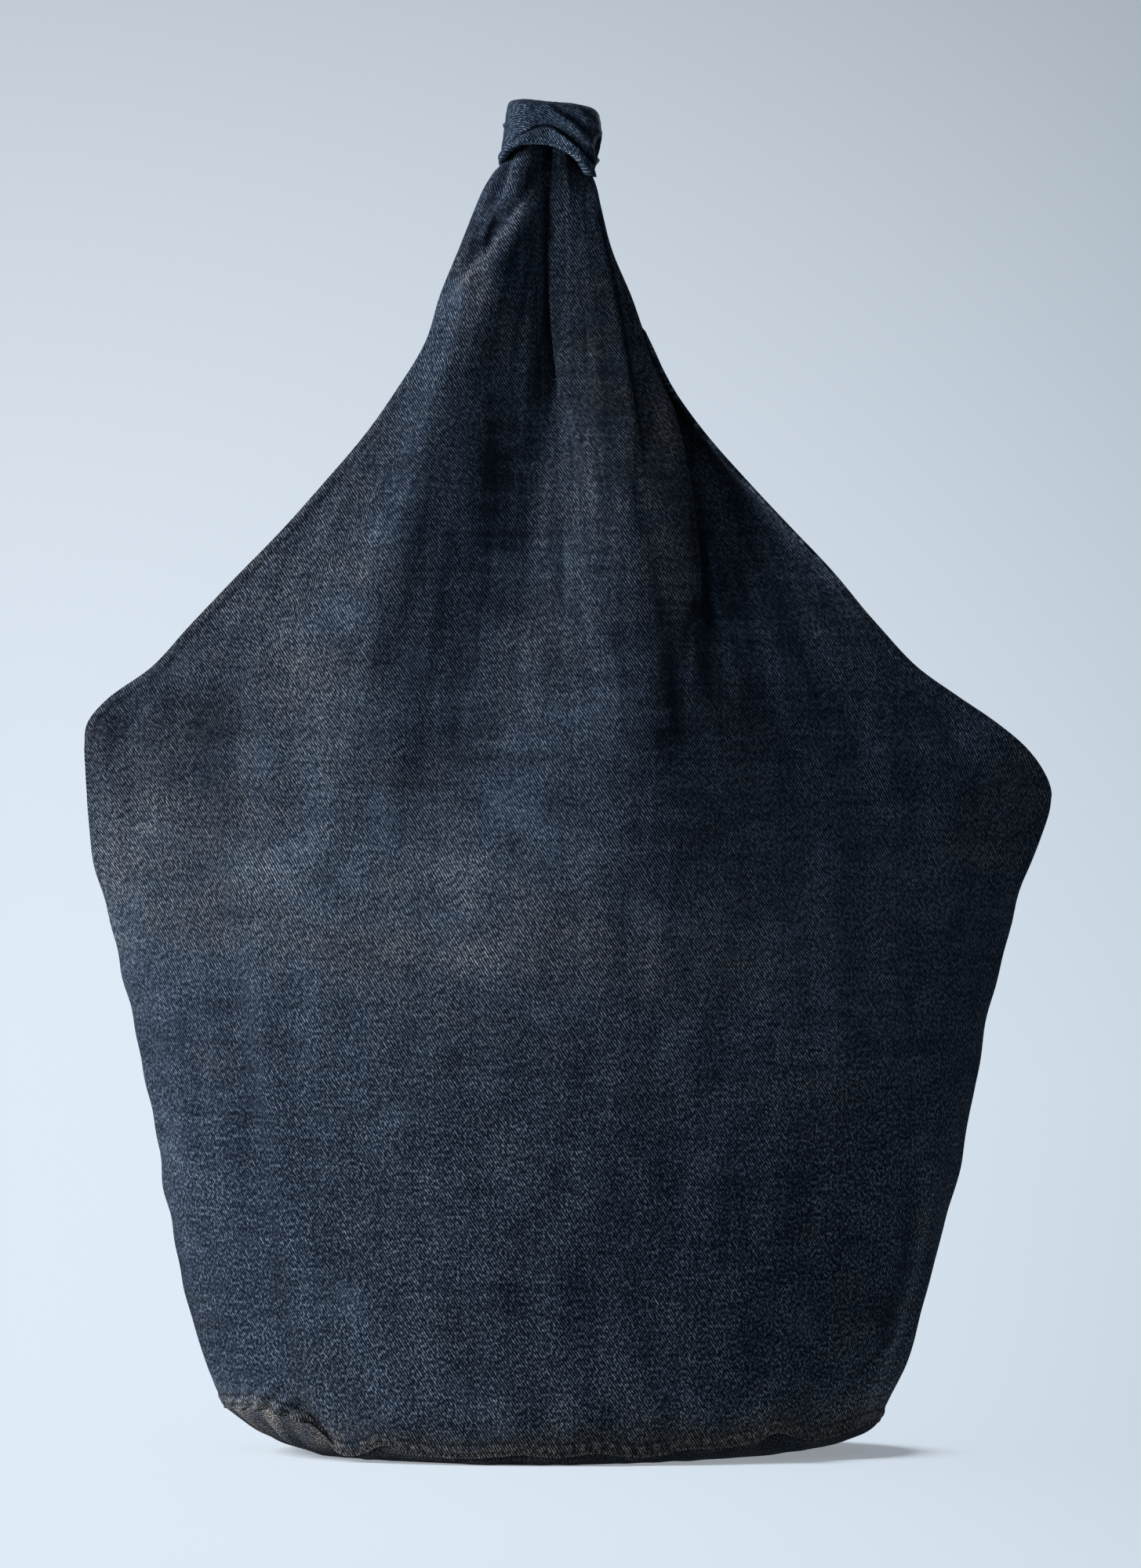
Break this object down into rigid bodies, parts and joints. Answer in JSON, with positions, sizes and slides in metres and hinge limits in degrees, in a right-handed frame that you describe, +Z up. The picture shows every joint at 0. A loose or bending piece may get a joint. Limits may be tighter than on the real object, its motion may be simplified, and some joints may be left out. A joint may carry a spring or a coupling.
{
  "type": "shoulder bag",
  "caption": "Slouchy denim shoulder bag: two panels sewn into a wide pouch on an oval base, open at both sides above the ears and gathered into a knotted neck.",
  "frame": {"origin": "on the floor, under the middle of the flat part of the oval base", "axes": "+Z up towards the knot, the front faces -Y, and +X is to the right as the front is seen"},
  "size_m": [0.5295, 0.2146, 0.7385],
  "materials": {
    "denim": "washed, over-dyed blue-black left-hand twill with brown tints, matt"
  },
  "bodies": {
    "root": {"front_panel": "denim", "back_panel": "denim", "base_panel": "denim", "knot_wrap": "denim"}
  },
  "joints": []
}
